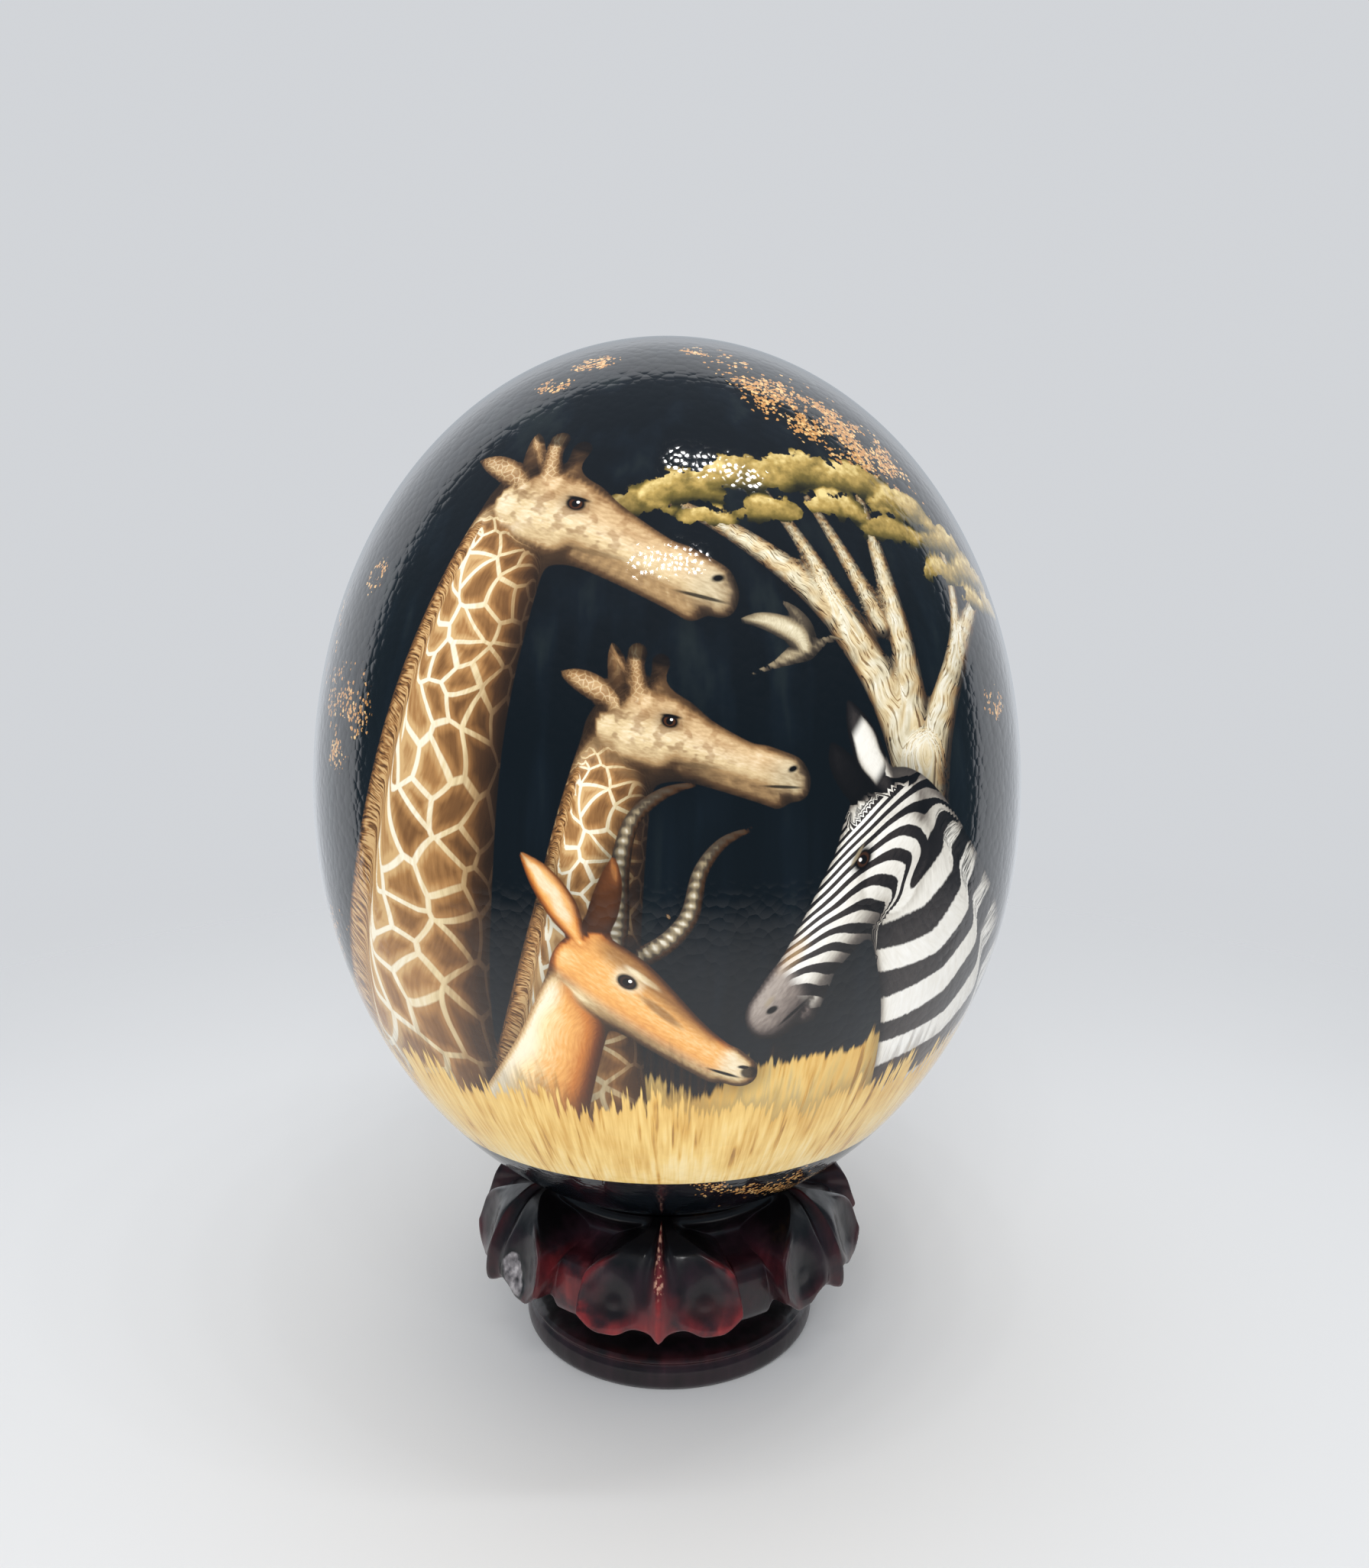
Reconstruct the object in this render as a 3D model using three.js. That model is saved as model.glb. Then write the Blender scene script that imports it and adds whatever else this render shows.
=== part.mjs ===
// A decorated ostrich egg resting upright in a carved wooden stand.
// Two pieces: the egg, and the stand, which is carved from one block: a dished seat, six hanging
// petals with small lappets between them, a waist, and a moulded round foot.
// Millimetres, +Z up. The origin is the centre of the foot's underside, and -Y is the front.
import * as THREE from "three";

// Driving dimensions of the egg.
const EGG_RADIUS = 63; // at its widest
const EGG_ABOVE = 84.5; // half length above the egg's centre
const EGG_BELOW = 73.2; // half length below it
const EGG_TAPER = 0.049; // the upper end is this much blunter
const EGG_CENTRE_Z = 99.5;
const EGG_SIDES = 52;
const EGG_RINGS = 26;

// Driving dimensions of the stand.
const SEAT_GAP = 0.3; // between the egg and the seat
const SEAT_RADIUS = 24;
const SEAT_RINGS = 3;
const PETALS = 6;
const PITCH = 360 / PETALS; // degrees from petal to petal
const FRONT_PETAL = -3; // azimuth of the front petal, degrees to the right of the front
const PROFILE_STEPS = 22;

// Half section of a petal, from the rim down its face, round its tip and back in to the waist: [r, z].
const PETAL_PROFILE = [
  [24.0, 32.0],
  [27.4, 31.7],
  [30.8, 29.8],
  [33.7, 26.6],
  [35.7, 22.8],
  [36.5, 19.4],
  [36.3, 17.0],
  [34.6, 16.3],
  [31.0, 17.4],
  [26.5, 17.4],
  [22.8, 15.0],
  [21.0, 11.5],
  [22.0, 7.8],
  [25.2, 6.5],
];
// Half section between two petals, station for station: a pocket, then the lappet below it.
const LAPPET_PROFILE = [
  [24.0, 32.0],
  [24.6, 30.6],
  [22.8, 28.4],
  [22.9, 26.6],
  [26.8, 25.1],
  [30.4, 24.6],
  [32.0, 22.6],
  [32.3, 18.8],
  [31.7, 15.4],
  [29.8, 13.9],
  [25.0, 14.4],
  [21.3, 11.6],
  [22.0, 7.8],
  [25.2, 6.5],
];
// Half width of a petal at each station, degrees.
const PETAL_HALF_WIDTH = [4, 5, 13, 22, 23.6, 23.9, 23.9, 23, 22, 22, 21, 20, 19, 19];
// The foot's moulded edge: bead, groove and torus.
const FOOT_PROFILE = [
  [26.9, 6.1],
  [27.5, 5.4],
  [27.1, 4.7],
  [27.7, 3.9],
  [28.0, 2.5],
  [27.9, 1.0],
  [27.2, 0.0],
];

// A column is 0 at a petal's middle and 1 halfway to the next petal. The petal's side follows EDGE_COLUMN,
// and falls to the lappet over EDGE_SPREAD columns.
const EDGE_COLUMN = 0.74;
const EDGE_SPREAD = 0.075;
const COLUMNS = [0, 0.09, 0.2, 0.36, 0.53, 0.67, 0.715, 0.765, 0.85, 1];

// The carving on a petal's face. Across is 0 at its middle and 1 at its side.
const RIDGE = { height: 1.3, halfWidth: 0.1, from: 0.3, to: 6.9 };
const DISH = { depth: 1.6, at: 0.56, halfWidth: 0.36, station: 4.35, halfStations: 1.75 };
const RIM = { height: 0.6, at: 1.2, halfWidth: 0.16 }; // on the dish's outer side
// The petal's lower edge: a cusp at the ridge, a notch on each side of it, and corners cut round.
const TIP = { station: 6.4, halfStations: 1.5 };
const CUSP_DROP = 0.4;
const NOTCH = { rise: 0.9, at: 0.28, halfWidth: 0.13 };
const CORNER = { rise: 1.9, from: 0.72 };

const LACQUER = { color: 0x0b0f18, roughness: 0.08, metalness: 0 };
const ROSEWOOD = { color: 0x2c1114, roughness: 0.28, metalness: 0 };

const bell = (x) => Math.exp(-x * x);
const smooth = (x) => {
  const t = Math.min(1, Math.max(0, x));
  return t * t * (3 - 2 * t);
};

// Radius of the egg at polar angle a, where a is 0 at the top.
function eggRadius(a) {
  return EGG_RADIUS * Math.sin(a) * (1 + EGG_TAPER * Math.cos(a));
}

function eggHeight(a) {
  const half = Math.cos(a) > 0 ? EGG_ABOVE : EGG_BELOW;
  return EGG_CENTRE_Z + half * Math.cos(a);
}

// The egg: its half outline turned about Z.
function eggGeometry() {
  const outline = [];
  for (let i = 0; i <= EGG_RINGS; i++) {
    const a = Math.PI * (1 - i / EGG_RINGS);
    const onAxis = i === 0 || i === EGG_RINGS;
    outline.push(new THREE.Vector2(onAxis ? 0 : eggRadius(a), eggHeight(a)));
  }
  return new THREE.LatheGeometry(outline, EGG_SIDES).rotateX(Math.PI / 2);
}

// Height of the egg's underside above radius r.
function eggUndersideHeight(r) {
  let low = Math.PI / 2;
  let high = Math.PI;
  for (let i = 0; i < 40; i++) {
    const mid = (low + high) / 2;
    if (eggRadius(mid) > r) low = mid;
    else high = mid;
  }
  return eggHeight(high);
}

const curveThrough = (points) => new THREE.SplineCurve(points.map(([u, v]) => new THREE.Vector2(u, v)));
const petalCurve = curveThrough(PETAL_PROFILE);
const lappetCurve = curveThrough(LAPPET_PROFILE);
const widthCurve = curveThrough(PETAL_HALF_WIDTH.map((width) => [width, 0]));
const LAST_STATION = PETAL_PROFILE.length - 1;

// How far the carving stands out of the petal's plain face.
function relief(across, station) {
  const ridge = RIDGE.height * bell(across / RIDGE.halfWidth) * smooth(station - RIDGE.from);
  const u = (across - DISH.at) / DISH.halfWidth;
  const v = (station - DISH.station) / DISH.halfStations;
  const fromDish = Math.hypot(u, v);
  const dish = DISH.depth * smooth((1.15 - fromDish) / 0.95);
  const outerSide = smooth((across - DISH.at) / 0.2 + (station - DISH.station) / 2);
  const rim = RIM.height * bell((fromDish - RIM.at) / RIM.halfWidth) * outerSide;
  return ridge * smooth(RIDGE.to - station) - dish + rim;
}

// How much higher the petal's lower edge is than at its plain profile.
function edgeRise(across, station) {
  const cusp = CUSP_DROP * bell(across / RIDGE.halfWidth);
  const notch = NOTCH.rise * bell((across - NOTCH.at) / NOTCH.halfWidth);
  const corner = CORNER.rise * smooth((across - CORNER.from) / (1 - CORNER.from));
  return (notch + corner - cusp) * bell((station - TIP.station) / TIP.halfStations);
}

// Azimuth from the petal's middle, in degrees, of a column at a station.
function columnAngle(column, station) {
  const half = widthCurve.getPoint(station / LAST_STATION).x;
  if (column < EDGE_COLUMN) return (column / EDGE_COLUMN) * half;
  return half + ((column - EDGE_COLUMN) / (1 - EDGE_COLUMN)) * (PITCH / 2 - half);
}

// A point of the carved side: r, z and the azimuth from the petal's middle.
function carvedPoint(column, station) {
  const petal = petalCurve.getPoint(station / LAST_STATION);
  const lappet = lappetCurve.getPoint(station / LAST_STATION);
  const tangent = petalCurve.getTangent(station / LAST_STATION);
  const across = column / EDGE_COLUMN;
  const out = relief(across, station);
  petal.x -= tangent.y * out;
  petal.y += tangent.x * out + edgeRise(across, station);
  const share = smooth((EDGE_COLUMN - column) / EDGE_SPREAD + 0.5);
  const point = lappet.lerp(petal, share);
  return [point.x, point.y, columnAngle(column, station)];
}

// The whole half section at a column, from the seat's rim to the underside's edge.
function standSection(column) {
  const section = [];
  const rimAngle = columnAngle(column, 0);
  for (let i = 1; i < SEAT_RINGS; i++) {
    const r = (SEAT_RADIUS * i) / SEAT_RINGS;
    section.push([r, eggUndersideHeight(r) - SEAT_GAP, rimAngle]);
  }
  for (let i = 0; i <= PROFILE_STEPS; i++) {
    section.push(carvedPoint(column, (LAST_STATION * i) / PROFILE_STEPS));
  }
  const footAngle = columnAngle(column, LAST_STATION);
  return section.concat(FOOT_PROFILE.map(([r, z]) => [r, z, footAngle]));
}

// Every section round the stand, as points in space.
function standSections() {
  const mirrored = COLUMNS.slice(1).map((column) => [column, -1]);
  const sector = [...mirrored.reverse(), ...COLUMNS.slice(0, -1).map((column) => [column, 1])];
  const sections = [];
  for (let petal = 0; petal < PETALS; petal++) {
    const middle = FRONT_PETAL + petal * PITCH;
    for (const [column, side] of sector) {
      const section = standSection(column).map(([r, z, angle]) => {
        const azimuth = THREE.MathUtils.degToRad(middle + side * angle);
        return [r * Math.sin(azimuth), -r * Math.cos(azimuth), z];
      });
      sections.push(section);
    }
  }
  return sections;
}

// The stand: its sections joined round into one closed skin, ended by the middles of the seat and of the
// underside.
function standGeometry() {
  const sections = standSections();
  const rows = sections[0].length;
  const positions = sections.flat(2);
  const top = positions.length / 3;
  positions.push(0, 0, eggUndersideHeight(0) - SEAT_GAP);
  const bottom = top + 1;
  positions.push(0, 0, 0);
  const index = [];
  for (let i = 0; i < sections.length; i++) {
    const here = i * rows;
    const next = ((i + 1) % sections.length) * rows;
    index.push(top, here, next);
    for (let j = 0; j < rows - 1; j++) {
      index.push(here + j, here + j + 1, next + j + 1);
      index.push(here + j, next + j + 1, next + j);
    }
    index.push(bottom, next + rows - 1, here + rows - 1);
  }
  const geometry = new THREE.BufferGeometry();
  geometry.setAttribute("position", new THREE.Float32BufferAttribute(positions, 3));
  geometry.setIndex(index);
  geometry.computeVertexNormals();
  return geometry;
}

function piece(name, geometry, look) {
  const mesh = new THREE.Mesh(geometry, new THREE.MeshStandardMaterial(look));
  mesh.name = name;
  return mesh;
}

const eggOnStand = new THREE.Group();
eggOnStand.add(piece("egg", eggGeometry(), LACQUER));
eggOnStand.add(piece("stand", standGeometry(), ROSEWOOD));

export default eggOnStand;
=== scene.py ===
"""A painted and lacquered ostrich egg on a carved rosewood stand: its surfaces, finishes, light and camera.

Shape functions work in millimetres in the frame's own axes: +Z up, -Y the front, and the origin under the
middle of the stand's foot. Meshes are written in metres.
"""

import math

import bpy
import numpy as np
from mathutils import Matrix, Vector


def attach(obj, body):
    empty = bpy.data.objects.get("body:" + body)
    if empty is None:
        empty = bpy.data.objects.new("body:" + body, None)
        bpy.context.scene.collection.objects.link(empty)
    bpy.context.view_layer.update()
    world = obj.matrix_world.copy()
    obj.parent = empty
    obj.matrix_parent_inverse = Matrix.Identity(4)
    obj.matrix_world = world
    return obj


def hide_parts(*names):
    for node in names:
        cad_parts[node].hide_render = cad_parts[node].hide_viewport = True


MM = 0.001

# The egg, in mm. The radius is a hair under the solid's, to keep the smooth curve within the solid's box.
EGG_RADIUS = 62.92
EGG_ABOVE = 84.5
EGG_BELOW = 73.2
EGG_TAPER = 0.049
EGG_CENTRE_Z = 99.5
EGG_MESH_STEPS = 128  # squares along each edge of the cube that is blown up to the egg
FRONT_DENSITY = 0.35  # 0 spreads the squares evenly; more draws them to the front

# The painting, in mm over the egg's surface. A chart's x runs round the egg and its y up it.
CHART_X = 63.0
CHART_Y = 79.0
PAINT_BOTTOM_Z = 49.3
PAINT_EDGE = 0.12  # half the softness of its lower edge
GRASS_TOP_Z = 68.0  # the near grass
FIELD_TOP_Z = 73.0  # the far field
FIELD_RISE = 7.0  # how much higher the far field's top is right of the middle
BLADE_MEAN = 17.0  # what blades and clumps add to a field's top on the average
# Drifts of gold leaf on the front chart: the middle, the half sizes, the turn in degrees, and the strength.
FLECK_DRIFTS = [
    ((29, 79), (28, 11), -36, 1.15), ((-14, 94), (6, 4), 20, 0.8), ((-21, 88), (5, 3.5), 0, 0.8),
    ((-54, 52), (5, 4), 60, 0.7), ((-61, 20), (5, 4), 0, 0.7), ((61, 29), (5, 4), 0, 0.7),
    ((8, 98), (7, 4), 0, 0.5),
]
CRUMBS_PER_METRE = 1900.0

# The lacquer's skin, in mm.
PORE_SPACING = 1.4
PORE_DEPTH = 0.038
WAVE_SPACING = 5.0
WAVE_HEIGHT = 0.012

# The stand, in mm and degrees. Stations count down a half section's points, r and z. A column is 0 at a
# petal's middle and 1 halfway to the next petal.
SEAT_GAP = 0.3
SEAT_RADIUS = 24.0
SEAT_RINGS = 6
PETALS = 6
PITCH = 360.0 / PETALS
FRONT_PETAL = -3.0
PETAL_PROFILE = [
    (24.0, 32.0), (27.4, 31.7), (30.8, 29.8), (33.7, 26.6), (35.7, 22.8), (36.5, 19.4), (36.3, 17.0),
    (34.6, 16.3), (31.0, 17.4), (26.5, 17.4), (22.8, 15.0), (21.0, 11.5), (22.0, 7.8), (25.2, 6.5),
]
LAPPET_PROFILE = [
    (24.0, 32.0), (24.6, 30.6), (22.8, 28.4), (22.9, 26.6), (26.8, 25.1), (30.4, 24.6), (32.0, 22.6),
    (32.3, 18.8), (31.7, 15.4), (29.8, 13.9), (25.0, 14.4), (21.3, 11.6), (22.0, 7.8), (25.2, 6.5),
]
PETAL_HALF_WIDTH = [4, 5, 13, 22, 23.6, 23.9, 23.9, 23, 22, 22, 21, 20, 19, 19]
FOOT_PROFILE = [(26.9, 6.1), (27.5, 5.4), (27.1, 4.7), (27.7, 3.9), (28.0, 2.5), (27.9, 1.0), (27.2, 0.0)]
EDGE_COLUMN = 0.74
EDGE_SPREAD = 0.075
COLUMN_RUNS = [(0.0, 0.67, 24), (0.69, 0.79, 16), (0.81, 1.0, 9)]
SKIN_STEPS = 134
FOOT_STEPS = 30
RIDGE_HEIGHT, RIDGE_WIDTH, RIDGE_FROM, RIDGE_TO = 1.3, 0.065, 0.3, 6.9
GROOVE_DEPTH, GROOVE_AT, GROOVE_WIDTH = 0.35, 0.15, 0.07
DISH_DEPTH, DISH_AT, DISH_WIDTH, DISH_STATION, DISH_LENGTH = 1.6, 0.56, 0.36, 4.35, 1.75
DISH_EDGE, DISH_SLOPE = 1.15, 0.95
RIM_HEIGHT, RIM_AT, RIM_WIDTH, RIM_FADE_ACROSS, RIM_FADE_DOWN = 0.6, 1.2, 0.16, 0.2, 2.0
TIP_STATION, TIP_LENGTH = 6.4, 1.5
CUSP_DROP, CUSP_WIDTH = 0.4, 0.1
NOTCH_RISE, NOTCH_AT, NOTCH_WIDTH = 0.9, 0.28, 0.13
CORNER_RISE, CORNER_FROM = 1.9, 0.72
# Where the stand is rubbed: its petals' lower edge by stations, and the bead at the top of its foot by z.
# The bead's rubbed red is partly a painted highlight along it.
WORN_EDGE, WORN_EDGE_LENGTH = 6.2, 1.3
WORN_LIT_BEAD_Z, WORN_LIT_BEAD_WIDTH, WORN_LIT_BEAD = 5.4, 0.8, 0.2
# The painted highlight on the left petal, a silvery reflection ringed by painted shade: its middle and half
# sizes, in x and z.
HIGHLIGHT_X, HIGHLIGHT_Z, HIGHLIGHT_HALF_WIDTH, HIGHLIGHT_HALF_HEIGHT = -28.4, 19.8, 2.3, 3.3

# The camera.
IMAGE_HEIGHT = 2053
FOCAL_LENGTH_PIXELS = 1725.0
SENSOR = 36.0
CAMERA_DISTANCE = 244.0
CAMERA_ELEVATION = math.radians(12.8)
CAMERA_PITCH = math.radians(11.4)
CAMERA_TURN = math.radians(-0.72)

# The setting: lengths in metres, colours as light values, and bands of the direction's y or z.
FLOOR_HALF_SIZE = 0.8
FLOOR_FADE = (0.1, 0.42)
FLOOR_COLOUR = (0.81, 0.82, 0.832, 1.0)
BACKDROP_UPPER = (0.644, 0.662, 0.690, 1.0)
BACKDROP_LOWER = (0.737, 0.752, 0.783, 1.0)
BACKDROP_JOIN = (-0.34, -0.43)
SWEEP = (1.02, 1.06, 1.12, 1.0)
SWEEP_LEAN, SWEEP_EDGE, SWEEP_MIDDLE = 0.14, (0.33, 0.4), (0.86, 0.98)
ROOM = (0.10, 0.15, 0.19, 1.0)
CEILING = (0.24, 0.28, 0.33, 1.0)
CEILING_RISE = (0.1, 0.9)
FILL = (0.577, 0.586, 0.60, 1.0)
# The two rows of small lamps that glint in the lacquer's pores, in mm and watts.
LAMPS_X = (-66, -22, 22, 66)
LAMP_SIZE, LAMP_POWER = (16, 16), 0.06


def smooth(x):
    """0 below 0, 1 above 1, and an S-curve between."""
    t = np.clip(x, 0.0, 1.0)
    return t * t * (3 - 2 * t)


def bell(x):
    """1 at 0, falling off like a bell."""
    return np.exp(-x * x)


def spline(points, stations):
    """The Catmull-Rom curve through the points, read at stations, where station i is point i."""
    p = np.array(points, float)
    p = np.vstack([p[:1], p, p[-1:]])
    i = np.clip(np.floor(stations).astype(int), 0, len(points) - 2)
    t = (stations - i)[..., None]
    a, b, c, d = p[i], p[i + 1], p[i + 2], p[i + 3]
    v0, v1 = (c - a) / 2, (d - b) / 2
    return (2 * b - 2 * c + v0 + v1) * t**3 + (3 * c - 3 * b - 2 * v0 - v1) * t**2 + v0 * t + b


def round_axis(r, azimuth, z):
    """Points at radius r and height z, where azimuth 0 is the front and grows to the right."""
    return np.stack(np.broadcast_arrays(r * np.sin(azimuth), -r * np.cos(azimuth), z), -1)


def new_piece(name, vertices, face_arrays, attributes):
    """A smooth mesh: vertices in mm, arrays of faces of one size each, and named vectors at the vertices."""
    mesh = bpy.data.meshes.new(name)
    mesh.vertices.add(len(vertices))
    mesh.vertices.foreach_set("co", (vertices * MM).astype(np.float32).ravel())
    corners = np.concatenate([faces.ravel() for faces in face_arrays]).astype(np.int32)
    sizes = np.concatenate([np.full(len(faces), faces.shape[1]) for faces in face_arrays])
    mesh.loops.add(len(corners))
    mesh.loops.foreach_set("vertex_index", corners)
    mesh.polygons.add(len(sizes))
    mesh.polygons.foreach_set("loop_start", (np.cumsum(sizes) - sizes).astype(np.int32))
    mesh.polygons.foreach_set("use_smooth", np.ones(len(sizes), bool))
    mesh.update(calc_edges=True)
    for label, values in attributes.items():
        kept = mesh.attributes.new(label, "FLOAT_VECTOR", "POINT")
        kept.data.foreach_set("vector", values.astype(np.float32).ravel())
    piece = bpy.data.objects.new(name, mesh)
    bpy.context.scene.collection.objects.link(piece)
    return piece


# ---------------------------------------------------------------- the egg's shape


def egg_radius(a):
    """Radius at polar angle a, 0 at the top: a circle drawn in slightly towards the bottom."""
    return EGG_RADIUS * np.sin(a) * (1 + EGG_TAPER * np.cos(a))


def egg_height(a):
    """Height at polar angle a: half an ellipse above the egg's centre, and half of another below it."""
    return EGG_CENTRE_Z + np.where(np.cos(a) > 0, EGG_ABOVE, EGG_BELOW) * np.cos(a)


def egg_underside(r):
    """Height of the egg's underside above radius r."""
    a = np.linspace(math.pi, math.pi / 2 + 0.1, 400)
    return np.interp(r, egg_radius(a), egg_height(a))


def ball_of_squares(steps):
    """Unit directions and faces of a cube's lattice blown up to a ball, its squares of nearly equal angle."""
    lattice = np.arange(steps + 1)
    a, b = np.meshgrid(lattice, lattice, indexing="ij")
    a, b = a.ravel(), b.ravel()
    sides = []
    for axis in range(3):
        for end in (0, steps):
            square = np.zeros((a.size, 3), int)
            square[:, axis], square[:, (axis + 1) % 3], square[:, (axis + 2) % 3] = end, a, b
            sides.append(square)
    points, index = np.unique(np.vstack(sides), axis=0, return_inverse=True)
    index = index.reshape(6, steps + 1, steps + 1)
    faces = []
    for side in range(6):
        g = index[side]
        quad = np.stack([g[:-1, :-1], g[1:, :-1], g[1:, 1:], g[:-1, 1:]], -1).reshape(-1, 4)
        faces.append(quad if side % 2 else quad[:, ::-1])
    n = np.tan((points / steps * 2 - 1) * math.pi / 4)
    return n / np.linalg.norm(n, axis=1, keepdims=True), np.vstack(faces)


def drawn_to_front(n):
    """Directions drawn to the front: u, the angle from it over pi, becomes (1-k)u + ku^2, k the density."""
    c = np.arccos(np.clip(-n[:, 1], -1, 1))
    u = c / math.pi
    c = math.pi * ((1 - FRONT_DENSITY) * u + FRONT_DENSITY * u * u)
    side = n[:, [0, 2]] / np.maximum(np.linalg.norm(n[:, [0, 2]], axis=1, keepdims=True), 1e-9)
    return np.stack([np.sin(c) * side[:, 0], -np.cos(c), np.sin(c) * side[:, 1]], 1)


def egg_surface(n):
    """Points of the egg whose polar angle and azimuth are those of the unit directions n."""
    a = np.arccos(np.clip(n[:, 2], -1, 1))
    return round_axis(egg_radius(a), np.arctan2(n[:, 0], -n[:, 1]), egg_height(a))


def chart(n, azimuth):
    """Flat x and y in mm round the equator's point at an azimuth: distances from that point are kept."""
    turn = math.radians(azimuth)
    x = n[:, 0] * math.cos(turn) + n[:, 1] * math.sin(turn)
    out = n[:, 0] * math.sin(turn) - n[:, 1] * math.cos(turn)
    c = np.arccos(np.clip(out, -1, 1))
    k = c / np.maximum(np.sin(c), 1e-6)
    return x * k * CHART_X, n[:, 2] * k * CHART_Y


# ---------------------------------------------------------------- the painted figures


def set_down(path, at, length, turn, facing):
    """A path drawn for a head of length 1 that looks along +x, turned by degrees, mirrored and placed."""
    p = np.array(path, float)
    c, s = math.cos(math.radians(turn)), math.sin(math.radians(turn))
    x, y = p[:, 0] * c - p[:, 1] * s, p[:, 0] * s + p[:, 1] * c
    return np.stack([at[0] + facing * length * x, at[1] + length * y, p[:, 2] * length], 1)


class Figure:
    """A painted figure at every point of a chart, built up limb by limb from the back to the front.

    edge is the distance from its outline, negative inside. normal is the painted form's. coat holds the
    distance along the limb in radii, the side from -1 to 1, and a tint; head is 1 on the head. under is the
    shade that nearer limbs cast on it.
    """

    LIGHT = np.array([-0.42, 0.55, 0.72]) / np.linalg.norm([-0.42, 0.55, 0.72])
    FAR = 60.0  # the distance and the depth before any limb is added
    MARGIN = 7.0  # how far past its outline a limb is worked out
    SHADOW_REACH = 2.0
    DARK_OUTLINE = 1.2
    NECK_STRIPES, FACE_STRIPES = 7.4, 62.0  # radians of a stripe's phase per radius and per head's length

    def __init__(self, x, y):
        self.x, self.y = x, y
        self.edge = np.full(len(x), self.FAR)
        self.height = np.full(len(x), -self.FAR)
        self.normal = np.tile([0.0, 0.0, 1.0], (len(x), 1))
        self.coat = np.zeros((len(x), 3))
        self.head = np.zeros(len(x))
        self.under = np.zeros(len(x))

    def limb(self, path, lift=0.0, soft=1.0, head=0.0, tint=0.0, shadow=0.0, steps=18, start=0.0, unit=None):
        """Adds the shape swept by a disc along a smooth path of (x, y, radius).

        A point's distance is its distance to the sloping side of the nearest piece of the path. Inside, the
        form bulges like a ball of that radius, raised by lift, and limbs melt together over soft mm. The way
        along it counts in units of mm, or else in radii, from start.
        """
        c = spline(path, np.linspace(0, len(path) - 1, steps + 1))
        c[:, 2] = np.maximum(c[:, 2], 0.05)
        low = (c[:, :2] - c[:, 2:3]).min(0) - self.MARGIN
        high = (c[:, :2] + c[:, 2:3]).max(0) + self.MARGIN
        k = np.flatnonzero((self.x > low[0]) & (self.x < high[0]) & (self.y > low[1]) & (self.y < high[1]))
        x, y = self.x[k], self.y[k]
        near = np.full(len(k), 1e9)
        radius, away_x, away_y = np.ones(len(k)), np.zeros(len(k)), np.zeros(len(k))
        along, across = np.zeros(len(k)), np.zeros(len(k))
        run = start
        for a, b in zip(c[:-1], c[1:]):
            length = max(math.hypot(*(b[:2] - a[:2])), 1e-6)
            ux, uy = (b[:2] - a[:2]) / length
            slope = np.clip((a[2] - b[2]) / length, -0.9, 0.9)
            side = ux * (y - a[1]) - uy * (x - a[0])
            t = (x - a[0]) * ux + (y - a[1]) * uy - np.abs(side) * slope / math.sqrt(1 - slope * slope)
            t = np.clip(t / length, 0, 1)
            px, py = x - a[0] - t * length * ux, y - a[1] - t * length * uy
            r = a[2] + t * (b[2] - a[2])
            d = np.hypot(px, py) - r
            step = length / (unit or 0.5 * (a[2] + b[2]))
            nearer = d < near
            for kept, new in ((near, d), (radius, r), (away_x, px), (away_y, py),
                              (along, run + t * step), (across, side / r)):
                kept[nearer] = new[nearer]
            run += step
        rho = np.hypot(away_x, away_y)
        bend = 0.97 * np.clip(rho / radius, 0, 1) ** 1.3 / np.maximum(rho, 1e-6)
        normal = np.stack([away_x * bend, away_y * bend, np.zeros(len(k))], 1)
        normal[:, 2] = np.sqrt(np.maximum(1 - (normal**2).sum(1), 0.02))
        height = lift + np.where(near < 0, np.sqrt(np.maximum(radius**2 - rho**2, 0)), -near)
        if shadow:
            outside = smooth(near / 0.8 + 0.5)
            cast = shadow * np.exp(-np.maximum(near, 0) / self.SHADOW_REACH) * (near > -0.4)
            self.under[k] = np.maximum(self.under[k], cast) * outside
        share = 1 / (1 + np.exp(np.clip((self.height[k] - height) / (0.25 * soft), -40, 40)))[:, None]
        coat = np.stack([along, np.clip(across, -1, 1), np.full(len(k), tint)], 1)
        self.normal[k] += (normal - self.normal[k]) * share
        self.coat[k] += (coat - self.coat[k]) * share
        self.head[k] += (head - self.head[k]) * share[:, 0]
        self.height[k] = np.maximum(self.height[k], height)
        h = np.clip(0.5 + 0.5 * (self.edge[k] - near) / soft, 0, 1)
        self.edge[k] += (near - self.edge[k]) * h - soft * h * (1 - h)

    def light(self):
        """Brightness of the painted form, lit from the upper left and darker at its outline."""
        n = self.normal / np.linalg.norm(self.normal, axis=1, keepdims=True)
        outline = 0.45 + 0.55 * smooth(-self.edge / self.DARK_OUTLINE)
        return np.clip((0.12 + 0.95 * np.clip(n @ self.LIGHT, 0, 1)) * outline * (1 - self.under), 0, 1)

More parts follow.
